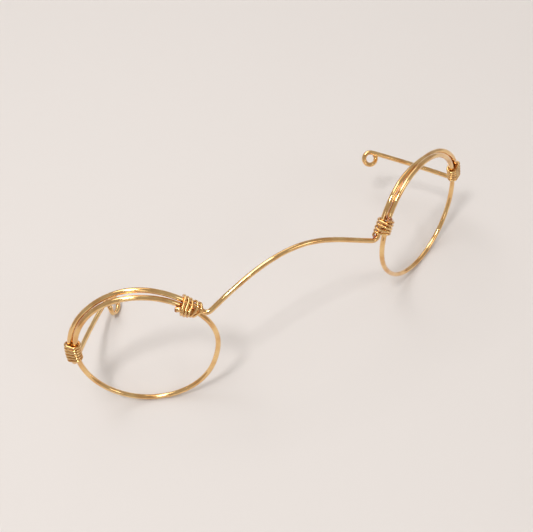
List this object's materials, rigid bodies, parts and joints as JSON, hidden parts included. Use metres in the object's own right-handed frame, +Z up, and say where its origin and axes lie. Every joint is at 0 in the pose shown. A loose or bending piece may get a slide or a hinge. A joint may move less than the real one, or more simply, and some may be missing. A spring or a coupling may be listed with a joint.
{
  "type": "lensless wire spectacle frame",
  "caption": "Small round wire spectacle frame without lenses, twisted up by hand and bent out of true, with wound bindings and curled temple ends.",
  "frame": {"origin": "middle of the whole frame's footprint, on the surface it rests on", "axes": "+X runs across the lenses from the left ring to the right ring, +Y runs from the lenses back towards the temple ends, +Z is up; left and right are as seen from the front, looking along +Y"},
  "size_m": [0.0892, 0.0282, 0.0265],
  "materials": {
    "frame_wire": "polished, gold coloured plating over copper",
    "binding_wire": "polished, gold coloured plating over copper"
  },
  "bodies": {
    "root": {"frame_wire": "frame_wire", "left_ring": "frame_wire", "right_ring": "frame_wire", "left_outer_binding": "binding_wire", "left_inner_binding": "binding_wire", "right_inner_binding": "binding_wire", "right_outer_binding": "binding_wire"}
  },
  "joints": []
}
